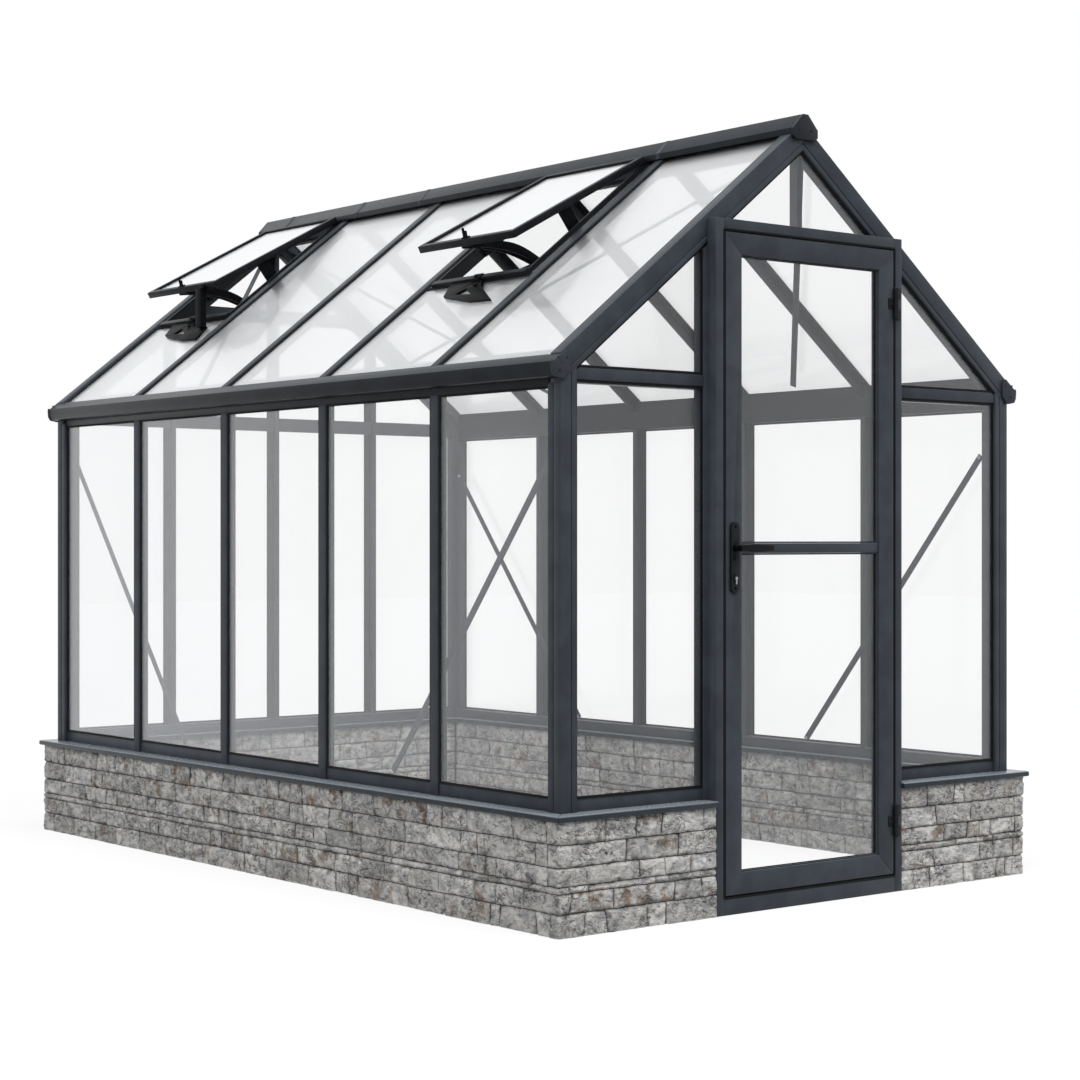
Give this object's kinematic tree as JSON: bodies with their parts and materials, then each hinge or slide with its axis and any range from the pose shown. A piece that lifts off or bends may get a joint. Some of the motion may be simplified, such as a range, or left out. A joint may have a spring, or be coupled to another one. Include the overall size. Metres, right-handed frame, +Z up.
{
  "type": "garden greenhouse",
  "caption": "Small garden greenhouse with an anthracite metal frame, clear glass, a low stone wall, a glazed door with a lever handle and open roof vents.",
  "frame": {"origin": "centre of the ground rectangle under the whole greenhouse, on the ground", "axes": "+Z up; the gable with the door faces -Y; +X to the right of someone facing the door"},
  "size_m": [2.066, 3.2373, 2.46],
  "materials": {
    "wall_stone": "rough split faces with thin dark joints",
    "sill_metal": "satin powder coat",
    "frame_metal": "satin powder coat",
    "vent_metal": "satin powder coat",
    "opener_metal": "satin black paint",
    "lever_metal": "satin black paint",
    "brace_metal": "satin powder coat",
    "black_plastic": "fine-grained matt",
    "pane_glass": "clear, polished"
  },
  "bodies": {
    "house": {"wall_left": "wall_stone", "wall_right": "wall_stone", "wall_back": "wall_stone", "wall_front_left": "wall_stone", "wall_front_right": "wall_stone", "sill_left": "sill_metal", "sill_right": "sill_metal", "sill_back": "sill_metal", "sill_front": "sill_metal", "corner_posts": "frame_metal", "base_rails": "frame_metal", "side_bars": "frame_metal", "gutters": "frame_metal", "gutter_end_caps": "black_plastic", "front_rafters": "frame_metal", "back_rafters": "frame_metal", "ridge_beam": "frame_metal", "ridge_cap": "frame_metal", "roof_bars": "frame_metal", "front_gable_bars": "frame_metal", "door_posts": "frame_metal", "door_jambs": "frame_metal", "door_head": "frame_metal", "door_threshold": "frame_metal", "back_posts": "frame_metal", "back_gable_bars": "frame_metal", "wall_braces": "brace_metal", "roof_braces": "brace_metal", "glass_left": "pane_glass", "glass_right": "pane_glass", "roof_glass_left": "pane_glass", "roof_glass_right": "pane_glass", "front_glass": "pane_glass", "back_glass": "pane_glass", "vent_frames": "vent_metal", "vent_glass": "pane_glass", "vent_rails": "vent_metal", "vent_openers": "opener_metal", "frame_hinges": "black_plastic"},
    "door": {"door_stiles": "frame_metal", "door_rails": "frame_metal", "door_glass": "pane_glass", "handle_plates": "black_plastic", "door_hinges": "black_plastic"},
    "lever": {"door_levers": "lever_metal"}
  },
  "joints": [
    {"name": "door_swing", "type": "hinge", "parent": "house", "child": "door", "pos_m": [0.3735, -1.599, 1.06], "axis": [0, 0, 1], "range_deg": [0, 100]},
    {"name": "lever_turn", "type": "hinge", "parent": "door", "child": "lever", "pos_m": [-0.337, -1.573, 1.106], "axis": [0, 1, 0], "range_deg": [0, 40], "stiffness_Nm_per_rad": 1, "springref_deg": -20.05}
  ]
}
